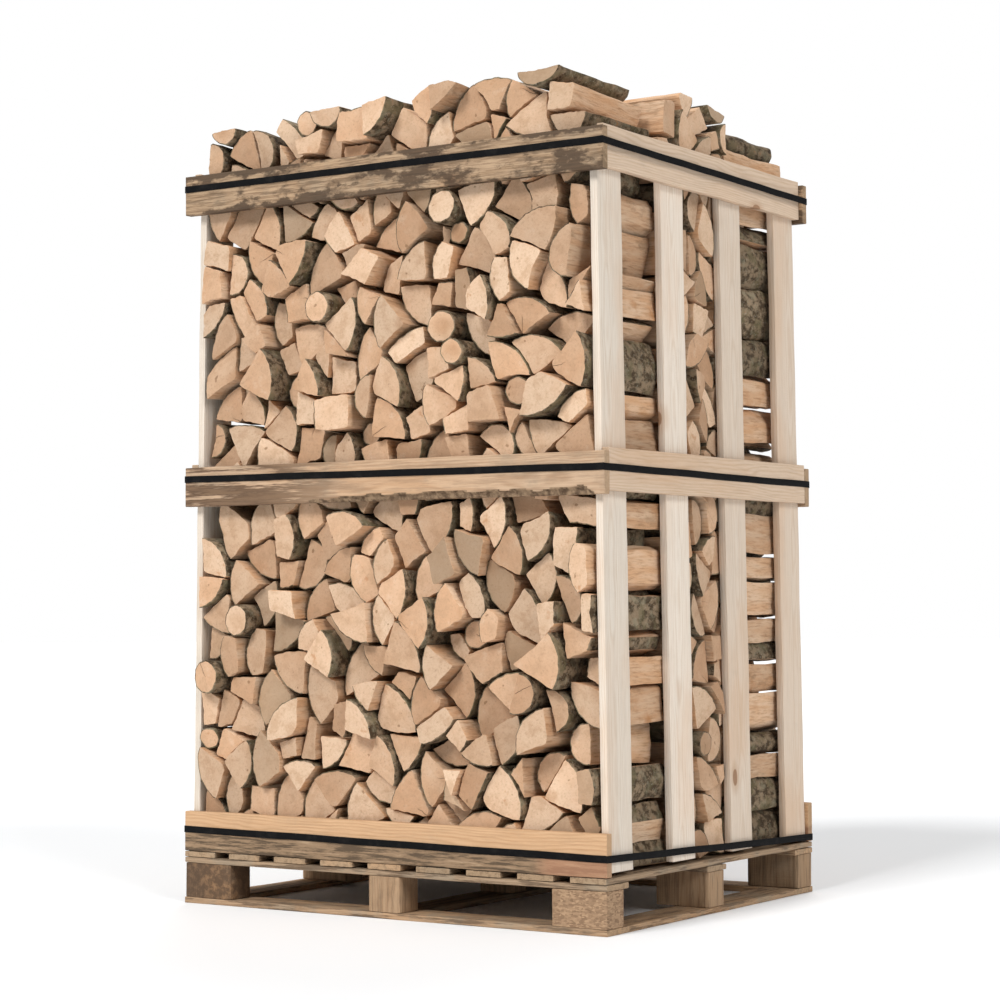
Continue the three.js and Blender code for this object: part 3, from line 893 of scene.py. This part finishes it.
def cross_column(side, name):
    """A column of logs lying along x: side -1, 0 or 1 for the left, centre and right column."""
    node = f"cross_logs_{name}"
    heap = heap_line(node, 1)
    stack = stack_logs(COLUMN_WIDTH, lambda y: heap(y - COLUMN_WIDTH / 2), SEEDS[name])
    rng = np.random.default_rng(SEEDS[name] + 100)
    placed = [(outline + [-COLUMN_WIDTH / 2, deck_top + PLAY], pith, bark) for outline, pith, bark in stack]
    count = len(placed)
    edges = np.array([[log[0][:, 0].min(), log[0][:, 0].max()] for log in placed])
    heights = np.array([log[0][:, 1].mean() for log in placed])
    tops = np.array([log[0][:, 1].max() for log in placed])
    gap = slats_right[1][1].y + MM, slats_right[2][0].y - MM
    free = (edges[:, 0] > gap[0]) & (edges[:, 1] < gap[1])
    free |= heights > top_rail[1].z + 30 * MM
    room = inside_at(tops) - PLAY
    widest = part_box("cross_logs_right")[1].x - PLAY
    outer_limit = np.where(free, np.minimum(room + OVERHANG, widest), room)
    outer = outer_limit - np.abs(rng.normal(0, 4 * MM, count)) - free * rng.uniform(0, UNEVEN, count)
    inner = np.maximum(outer - rng.uniform(*CROSS_LENGTH, count), INNER_END + MM)
    inner_limit = np.full(count, INNER_END)
    if side > 0:
        given = inner, outer, inner_limit, outer_limit
    elif side < 0:
        given = -outer, -inner, -outer_limit, -inner_limit
    else:
        half = rng.uniform(*CENTRE_HALF, (2, count))
        centre_limit = np.full(count, CENTRE_HALF[1] + 2 * MM)
        given = -half[0], half[1], -centre_limit, centre_limit
    surfaces = log_surfaces(placed, *given, rng)
    piece = logs_to_piece(f"cross_logs_{name}_stack", surfaces, np.ones(count, bool), [1, 2, 0], node)
    print(piece.name, count, "logs")


for side, name in ((-1, "left"), (0, "centre"), (1, "right")):
    cross_column(side, name)

# %% [markdown]
# Boards. Every board is a rounded rectangle drawn along its length. A cube with a Bevel would do for new
# timber. Sawn timber is never quite straight, so the section wanders by about a millimetre, always
# inwards. A board that was cut near the outside of the trunk keeps a waney edge: its corner is missing
# and shows bark.

# %% Board surfaces
SPACING, STATION_SPACING = 0.010, 0.022     # between points round a section, and between sections
WANE_FINENESS = 0.4                         # both are this much closer on a board with a waney edge


def section_outline(wide, thick, cut, spacing):
    """Points round a rectangle `wide` by `thick` with corners cut back by `cut`.

    They run anticlockwise from the right side.
    """
    across = np.linspace(-wide / 2 + cut, wide / 2 - cut, max(2, int(wide / spacing)))
    deep = np.linspace(-thick / 2 + cut, thick / 2 - cut, max(2, int(thick / spacing)))
    soft = 0.3 * cut
    right_side = np.stack([np.full_like(deep, wide / 2), deep], 1)
    upper_side = np.stack([across[::-1], np.full_like(across, thick / 2)], 1)
    left_side = np.stack([np.full_like(deep, -wide / 2), deep[::-1]], 1)
    lower_side = np.stack([across, np.full_like(across, -thick / 2)], 1)
    sides = [right_side, [[wide / 2 - soft, thick / 2 - soft]],
             upper_side, [[-wide / 2 + soft, thick / 2 - soft]],
             left_side, [[-wide / 2 + soft, -thick / 2 + soft]],
             lower_side, [[wide / 2 - soft, -thick / 2 + soft]]]
    return np.concatenate([np.asarray(side, float) for side in sides])


def waney_edge(section, run, half, wane, rng):
    """The section with its corner missing where the board has a waney edge, and which points are bare.

    `wane` is (sign across, sign deep, size across, size deep, from, to). A point within the missing corner
    moves inwards by 0.62 of the size times how far it is within, and the edge's reach is made ragged.
    """
    wide_cut, deep_cut, first, last = wane[2:]
    gap = (half - section * wane[:2]) / [wide_cut, deep_cut]
    ragged = ripple(0 * run[None], run[None], (1, 1, 1), (0.43, 0.19, 0.083), 0.13, rng)[0]
    reach = np.clip((run - first) / 0.12, 0, 1) * np.clip((last - run) / 0.05, 0, 1) + ragged - 0.15
    missing = np.clip(np.clip(reach, 0, 1)[:, None] - gap.sum(2), 0, 1)
    section = section - missing[..., None] * np.array([wide_cut, deep_cut]) * wane[:2] * 0.62
    return section, (missing > 0.02) * 1.0


def sawn_board(node, finish, seed, pith, cut=1.6 * MM, thick=None, wane=None, plumb=False):
    """A board in the place of a CAD node: its section (across, deep), swept ring by ring along its length.

    `pith` is where the heart of the tree lies in the section, and `cut` how far the corners are cut back.
    `thick` is given for a leaning board, which is sheared so that it keeps its thickness. `wane` is as in
    waney_edge. A `plumb` piece has its length upright, whatever its longest side.
    """
    rng = np.random.default_rng(seed)
    low, high = (np.array(corner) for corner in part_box(node))
    size, middle = high - low, (low + high) / 2
    along = 2 if plumb else int(np.argmax(size))
    across, deep = [axis for axis in range(3) if axis != along]
    if not plumb and size[across] < size[deep]:
        across, deep = deep, across
    leaning = thick is not None
    if leaning:
        deep = 0
        across = 3 - along
        size[0], slide = thick, size[0] - thick
    length = size[along]
    fineness = WANE_FINENESS if wane else 1.0
    outline = section_outline(size[across], size[deep], cut, SPACING * fineness)
    n, stations = len(outline), max(6, int(length / (STATION_SPACING * fineness)))
    t = np.linspace(0, 1, stations)
    t = np.concatenate([[0, 0], t, [1, 1]])
    inset = np.concatenate([[4 * MM, 0.8 * MM], np.zeros(stations), [0.8 * MM, 4 * MM]])
    shift = np.zeros(len(t))
    shift[2], shift[-3] = 0.9 * MM, -0.9 * MM
    run = (t - 0.5) * length + shift
    section = np.repeat(outline[None], len(t), 0)
    half = np.array([size[across], size[deep]]) / 2
    section = section * (1 - inset[:, None, None] / half)
    girth = np.cumsum(np.linalg.norm(np.roll(outline, 1, 0) - outline, axis=1))
    wander = ripple(girth[None, None], run[None, :, None], (0.31, 0.13, 9.0), (0.55, 0.23, 0.37),
                    0.22 * MM, rng)
    section = section * (1 - (wander[0] + 0.66 * MM)[..., None] / np.maximum(half, 8 * MM))
    bare = np.zeros((len(t), n))
    if wane is not None:
        section, bare = waney_edge(section, run, half, wane, rng)
    points = np.zeros((len(t), n, 3))
    points[..., across] = section[..., 0]
    points[..., deep] = section[..., 1]
    points[..., along] = run[:, None]
    if leaning:
        inward = -np.sign(middle[0]) * slide
        points[..., 0] += points[..., 2] / (high[2] - low[2]) * inward
    grain = np.stack([section[..., 0] - pith[0], section[..., 1] - pith[1],
                      np.repeat(run[:, None], n, 1)], 2)
    grain[..., 2] += rng.uniform(0, 30)
    points = points.reshape(-1, 3) + middle
    grain = grain.reshape(-1, 3)
    points = np.concatenate([points, points[:n].mean(0)[None], points[-n:].mean(0)[None]])
    grain = np.concatenate([grain, grain[:n].mean(0)[None], grain[-n:].mean(0)[None]])
    quads, triangles = ring_faces(1, len(t), n)
    skin = np.ones((len(t) - 1, n))
    skin[[0, -1]] = 0
    touched = np.maximum(bare, np.roll(bare, -1, 1))
    skin = np.where(np.minimum(touched[1:], touched[:-1]) > 0, 2.0, skin)
    skin = np.concatenate([skin.ravel(), np.zeros(len(triangles))])
    tone = np.repeat(rng.random((1, 3)), len(points), 0)
    piece = new_piece(f"{node}_wood", points, quads, triangles, grain, tone, skin, finish, 32)
    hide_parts(node)


print("boards have a section every", STATION_SPACING, "m")

# %% [markdown]
# Board finishes. Sawn softwood shows its rings as long streaks, because the board cuts them lengthwise. A
# picture of wood would repeat from board to board; rings round a pith outside the board never do. One
# function makes them all: two tones of streaks, knots, grey weathering and dirt. Each board family gets
# its own amounts, and a few boards get marks of their own on top.

# %% Timber finish
WORN = {
    "warm": (0.62, 0.34, 0.16), "round knot": (0.42, 0.22, 0.10), "knot": (0.26, 0.125, 0.055),
    "grey": (0.27, 0.225, 0.165), "dirt": (0.14, 0.095, 0.06), "streak": (0.085, 0.055, 0.034),
    "end": (0.40, 0.27, 0.16), "bark": (0.09, 0.055, 0.032), "bark ridge": (0.30, 0.205, 0.125),
}
YEAR_RING, TIMBER_RELIEF = 0.0042, 0.0007


def timber(name, pale, dark, weather, dirt, knots, streaks=0.0, marks=None):
    """Sawn timber from `pale` to `dark`, with some `weather` greying, `dirt`, `knots` and dark `streaks`.

    Each amount is from 0 to 1. `marks` is a function that adds marks over the whole board.
    """
    f = Finish(name, 0.8)
    grain = f.attribute("grain").outputs["Vector"]
    across, deep, _ = f.parts(grain)
    warm, shade, _ = f.parts(f.attribute("tone").outputs["Vector"])
    skin = f.value("ShaderNodeAttribute", {"attribute_name": "skin"}, None, 2)
    place = f.node("ShaderNodeTexCoord").outputs["Object"]
    slow = f.noise(grain, 5, 3, 0.5, (1.5, 1.5, 0.5))
    reach = (across * across + deep * deep).root() + slow * 0.030
    rings = (reach * (TURN / YEAR_RING)).wave() * 0.5 + 0.5
    fibre = f.noise(grain, 42, 4, 0.62, (7, 7, 0.30))
    saw = f.noise(grain, 60, 2, 0.5, (0.5, 0.5, 6))
    cloud = f.noise(place, 7, 4, 0.6)
    fine = f.noise(grain, 260, 2, 0.6)
    colour = f.mix(rings ** 2 * 0.50 + fibre.rise(0.4, 0.75) * 0.45, pale, dark)
    colour = f.mix((warm - 0.5) * 0.4 + slow.rise(0.45, 0.7) * 0.25, colour, WORN["warm"])
    cells = f.node("ShaderNodeTexVoronoi", {"feature": "F1"}, {
        "Vector": f.scaled(grain, (1.0, 1.0, 0.55)), "Scale": 7.0, "Randomness": 1.0})
    knot_at = Value(f, cells.outputs["Distance"]) + (fibre - 0.5) * 0.03
    knot_on = Value(f, f.node("ShaderNodeSeparateColor", None, {0: cells.outputs["Color"]}).outputs[0])
    knot_on = knot_on.rise(1.0 - knots * 0.75, 1.02 - knots * 0.75)
    colour = f.mix(knot_at.rise(0.20, 0.08) * knot_on * 0.35, colour, WORN["round knot"])
    colour = f.mix(knot_at.rise(0.085, 0.070) * knot_on * 0.75, colour, WORN["knot"])
    grey = f.noise(place, 11, 5, 0.62, (1, 1, 1))
    greyed = grey.rise(0.62 - weather * 0.3, 0.80 - weather * 0.35)
    colour = f.mix(greyed * weather, colour, WORN["grey"])
    colour = f.mix(cloud.rise(0.60, 0.72) * dirt * 0.8, colour, WORN["dirt"])
    line = f.noise(grain, 33, 5, 0.72, (3, 3, 0.22))
    colour = f.mix(line.rise(0.47, 0.60) * streaks, colour, WORN["streak"])
    colour = f.mix(line.rise(0.42, 0.32) * streaks * 0.6, colour, pale)
    if marks is not None:
        colour = marks(f, colour, place, fibre, cloud)
    is_end = skin.rise(0.6, 0.4)
    colour = f.mix(is_end * 0.45, colour, WORN["end"])
    bark = f.mix(f.noise(grain, 60, 4, 0.66).rise(0.35, 0.65), WORN["bark"], WORN["bark ridge"])
    colour = f.mix(skin.rise(1.4, 1.6), colour, bark)
    colour = f.mix(1.0, colour, f.mix(shade, (0.90, 0.90, 0.89), (1.07, 1.07, 1.07)), "MULTIPLY")
    f.bump(fibre * 1.0 + saw * 0.6 + rings * 0.25 + fine * 0.25, TIMBER_RELIEF)
    return f.paint(colour, 0.72 + fine * 0.18)


print("timber ready")

# %% [markdown]
# Marks. Stains, splashes and pressed chips belong to single boards. Each is a function of the board's
# place in the crate, so it lies where it should: the dark streaks on the left, the splashes low down.

# %% Marks of single boards
TOP_RAIL_MIDDLE = 1.7305                    # height of the top rails' middle line


def top_rail_marks(f, colour, place, fibre, _):
    """Dark water stains in patches along an old board."""
    _, _, z = f.parts(place)
    stain = f.noise(place, 9, 5, 0.65, (1, 1, 2.2))
    edges = (z - TOP_RAIL_MIDDLE).size().rise(0.030, 0.046)
    colour = f.mix((stain + edges * 0.10 - 0.02).rise(0.47, 0.57) * 0.88, colour, (0.060, 0.038, 0.024))
    return f.mix(fibre.rise(0.45, 0.65) * 0.45, colour, (0.14, 0.085, 0.050))


def middle_rail_marks(f, colour, place, *_):
    """Dark streaks towards the left end, and faint ones all along."""
    x, _, _ = f.parts(place)
    streak = f.noise(place, 15, 5, 0.66, (0.28, 1, 5))
    colour = f.mix(streak.rise(0.44, 0.52) * x.rise(0.00, -0.40) * 0.9, colour, (0.075, 0.042, 0.024))
    return f.mix(streak.rise(0.50, 0.62) * 0.45, colour, (0.25, 0.155, 0.09))


def bottom_rail_marks(f, colour, place, _, cloud):
    """Clean orange wood above; the lower part browned and streaked by splashes."""
    x, _, z = f.parts(place)
    edge = z + (cloud - 0.5) * 0.05 + x * 0.012
    colour = f.mix(edge.rise(0.176, 0.166) * 0.80, colour, (0.200, 0.138, 0.085))
    line = f.noise(place, 24, 5, 0.72, (0.3, 1, 4))
    colour = f.mix(line.rise(0.46, 0.56) * edge.rise(0.178, 0.166) * 0.8, colour, (0.055, 0.038, 0.024))
    colour = f.mix(line.rise(0.43, 0.34) * edge.rise(0.178, 0.166) * 0.6, colour, (0.46, 0.33, 0.21))
    return f.mix(x.rise(0.40, 0.46) * edge.rise(0.178, 0.166) * 0.6, colour, (0.40, 0.20, 0.115))


def dirty_marks(f, colour, place, *_):
    """A block that is black with dirt, with paler scuffs."""
    grime = f.noise(place, 28, 5, 0.7)
    return f.mix(grime.rise(0.64, 0.44) * 0.85, colour, (0.085, 0.052, 0.032))


def chip_marks(f, colour, place, *_):
    """Pressed chips: flat flakes of many tones."""
    chips = f.node("ShaderNodeTexVoronoi", {"feature": "F1"}, {
        "Vector": f.scaled(place, (1.0, 1.0, 2.6)), "Scale": 120.0})
    tone = Value(f, f.node("ShaderNodeSeparateColor", None, {0: chips.outputs["Color"]}).outputs[0])
    return f.mix(tone * 0.8, f.mix(0.6, colour, (0.17, 0.10, 0.058)), (0.47, 0.31, 0.185))


print("marks ready")

# %% [markdown]
# The families of timber: pale new slats, cleaner side rails, three kinds of old rail, dark pallet wood,
# and three kinds of block.

# %% Families of timber
LOOKS = {
    "slat": timber("pale_slat_timber", (0.745, 0.665, 0.575), (0.62, 0.505, 0.395),
                   weather=0.10, dirt=0.05, knots=0.8, streaks=0.05),
    "side_rail": timber("clean_side_timber", (0.68, 0.525, 0.395), (0.54, 0.385, 0.260),
                        weather=0.12, dirt=0.08, knots=0.6, streaks=0.07),
    "top_rail": timber("stained_top_timber", (0.47, 0.325, 0.205), (0.29, 0.185, 0.105),
                       weather=0.35, dirt=0.5, knots=0.4, marks=top_rail_marks, streaks=0.55),
    "middle_rail": timber("aged_middle_timber", (0.49, 0.345, 0.230), (0.335, 0.210, 0.125),
                          weather=0.3, dirt=0.2, knots=0.5, marks=middle_rail_marks, streaks=0.22),
    "bottom_rail": timber("splashed_bottom_timber", (0.56, 0.355, 0.205), (0.42, 0.245, 0.125),
                          weather=0.15, dirt=0.15, knots=0.6, marks=bottom_rail_marks, streaks=0.10),
    "pallet": timber("pallet_timber", (0.36, 0.255, 0.165), (0.225, 0.145, 0.085),
                     weather=0.5, dirt=0.5, knots=0.4, streaks=0.75),
    "block": timber("block_timber", (0.36, 0.245, 0.150), (0.23, 0.14, 0.080),
                    weather=0.3, dirt=0.35, knots=0.2, streaks=0.4),
    "dirty_block": timber("dirty_block_timber", (0.125, 0.080, 0.050), (0.062, 0.040, 0.025),
                          weather=0.3, dirt=0.7, knots=0.2, marks=dirty_marks),
    "chip_block": timber("pressed_chip_block", (0.32, 0.205, 0.125), (0.22, 0.13, 0.075),
                         weather=0.1, dirt=0.15, knots=0.0, marks=chip_marks),
}
print(len(LOOKS), "timber finishes")

# %% [markdown]
# The pallet: nine deck boards on three stringers, nine blocks, and five boards below. The fibres of a
# block stand upright here, so its sides show streaks and its top an end. One block is black with dirt,
# and one is pressed from chips, as repaired pallets often have.

# %% Pallet
SIDES, ROWS = ("left", "middle", "right"), ("front", "centre", "back")
ODD_BLOCKS = {("front", "left"): "dirty_block", ("front", "right"): "chip_block"}
for i in range(1, 10):
    sawn_board(f"deck_board_{i}", LOOKS["pallet"], pith=(0.01 * (i % 4), 0.05), seed=i)
for row in ROWS:
    sawn_board(f"stringer_{row}", LOOKS["pallet"], pith=(0.0, 0.06), seed=20 + len(row))
for side in ("front", "back", *SIDES):
    sawn_board(f"bottom_board_{side}", LOOKS["pallet"], pith=(0.02, 0.05),
               seed=30 + len(side))
for r, row in enumerate(ROWS):
    for s, side in enumerate(SIDES):
        look = ODD_BLOCKS.get((row, side), "block")
        sawn_board(f"block_{row}_{side}", LOOKS[look], pith=(0.03, 0.05), cut=7 * MM,
                   seed=40 + 3 * r + s, plumb=True)
print("pallet of 26 pieces")

# %% [markdown]
# The crate: three rails across each face and two along each side, with four slats a side. The side panels
# lean in, and their boards are sheared rather than turned, so that each stays in its CAD node's box. The
# middle front rail has the waney edge.

# %% Crate
SIDE_RAIL_THICK = 19 * MM
WANE = (-1, -1, 0.020, 0.014, -0.24, 0.585)
for end in ("front", "back"):
    for level in ("bottom", "middle", "top"):
        wane = WANE if (end, level) == ("front", "middle") else None
        sawn_board(f"{end}_rail_{level}", LOOKS[f"{level}_rail"], pith=(-0.01, 0.05), wane=wane,
                   seed=60 + len(level) + len(end))
for side in ("left", "right"):
    for level in ("middle", "top"):
        sawn_board(f"{side}_rail_{level}", LOOKS["side_rail"], pith=(0.01, 0.05),
                   thick=SIDE_RAIL_THICK, seed=80 + len(level) + len(side))
    for i in (1, 2, 3, 4):
        sawn_board(f"{side}_slat_{i}", LOOKS["slat"], pith=(0.012 * i - 0.03, 0.045),
                   thick=SLAT_THICK, seed=90 + i + 5 * len(side))
print("crate of 18 boards")

# %% [markdown]
# Straps. Flat plastic bands are pulled tight round the crate, so they turn sharply over the corners and
# climb from one corner to the next. A curve with a bevel would twist on the climb, so the band's section
# is carried round the path with its height kept upright. Fine diamonds are pressed into its faces.

# %% Straps
PRESSING = 1900                             # radians a metre
CORNER_RADIUS = 1.7 * MM
CORNER_STEPS, SIDE_STEPS = 7, 42
BAND_DEPTH = np.array([0.0, 0.0, 0.0, -0.25, -0.75, -1, -1, -1, -0.75, -0.25]) * MM
BAND_HEIGHT = np.array([-7.4, 0, 7.4, 8, 8, 7.4, 0, -7.4, -8, -8]) * MM


def strap_finish():
    f = Finish("black_strap_plastic", 0.42)
    f.shader.inputs["Specular IOR Level"].default_value = 0.10
    place = f.node("ShaderNodeTexCoord").outputs["Object"]
    x, y, z = f.parts(place)
    run = x + y
    press = ((run + z) * PRESSING).wave() * ((run - z) * PRESSING).wave()
    dust = f.noise(place, 45, 4, 0.6)
    colour = f.mix(dust.rise(0.45, 0.75) * 0.5, (0.0035, 0.0035, 0.004), (0.020, 0.018, 0.017))
    f.bump(press * 0.6 + dust * 0.4, 0.0003)
    return f.paint(colour, 0.60 + dust * 0.25)


strap_plastic = strap_finish()


def strap(level):
    """A closed band: its section, 16 by 1 mm, runs round a rectangle with round corners.

    Between two corners its height goes evenly from the one's to the other's.
    """
    node = f"{level}_strap"
    corners = np.array([v.co for v in nodes[node].data.vertices])
    half_x, half_y = np.abs(corners[:, 0]).max(), np.abs(corners[:, 1]).max()
    turn = CORNER_RADIUS
    rng = np.random.default_rng(len(level))
    path, outward = [], []
    signs = [(1, -1), (1, 1), (-1, 1), (-1, -1)]
    heights = [corners[np.abs(corners[:, :2] - [sx * half_x, sy * half_y]).sum(1) < 0.02, 2].mean()
               for sx, sy in signs]
    for number, (sx, sy) in enumerate(signs):
        start = np.arctan2(sy, sx) - np.pi / 4
        angles = start + np.linspace(0, np.pi / 2, CORNER_STEPS)
        normal = np.stack([np.cos(angles), np.sin(angles)], 1)
        corner = np.array([sx * (half_x - turn), sy * (half_y - turn)]) + normal * turn
        path.append(np.column_stack([corner, np.full(CORNER_STEPS, heights[number])]))
        outward.append(normal)
        next_sign = signs[(number + 1) % 4]
        t = np.linspace(0, 1, SIDE_STEPS)[1:-1, None]
        line_end = np.array([next_sign[0] * (half_x - turn), next_sign[1] * (half_y - turn)])
        line_end = line_end + normal[-1] * turn
        path.append(np.column_stack([corner[-1] * (1 - t) + line_end * t,
                                     heights[number] * (1 - t) + heights[(number + 1) % 4] * t]))
        outward.append(np.repeat(normal[-1:], len(t), 0))
    path, outward = np.concatenate(path), np.concatenate(outward)
    way = np.arange(len(path))[None] * 0.025
    lift = ripple(way, np.zeros((1, len(path))), (0.6, 0.23), (9, 9), 0.3 * MM, rng)
    path[:, 2] += lift[0]
    rings, n = len(path), len(BAND_DEPTH)
    points = np.zeros((rings, n, 3))
    points[..., :2] = path[:, None, :2] + outward[:, None] * BAND_DEPTH[None, :, None]
    points[..., 2] = path[:, None, 2] + BAND_HEIGHT
    a, b = np.arange(rings)[:, None], np.arange(n)
    after, above = (a + 1) % rings, (b + 1) % n
    quads = np.stack([a * n + b, after * n + b, after * n + above, a * n + above], -1).reshape(-1, 4)
    flat = points.reshape(-1, 3)
    piece = new_piece(f"{level}_band", flat, quads, np.zeros((0, 3), int), flat, flat * 0 + 0.5,
                      np.ones(len(quads)), strap_plastic, 60)
    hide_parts(node)


for level in ("top", "middle", "bottom"):
    strap(level)
print("3 straps")

# %% [markdown]
# The floor: one large pale disc, so the crate stands on something and its shadow falls on it. A curved
# studio backdrop would hide the horizon, but the disc reaches so far that it does so too.

# %% Floor
FLOOR_RADIUS = 40


def floor_finish():
    f = Finish("pale_floor", 0.9)
    f.shader.inputs["Base Color"].default_value = (0.95, 0.96, 0.97, 1)
    return f.material


bpy.ops.mesh.primitive_circle_add(vertices=96, radius=FLOOR_RADIUS, fill_type="NGON", location=(0, 0, 0))
floor = bpy.context.object
floor.name = "studio_floor"
floor.data.materials.append(floor_finish())
print("the floor reaches", FLOOR_RADIUS, "m each way")
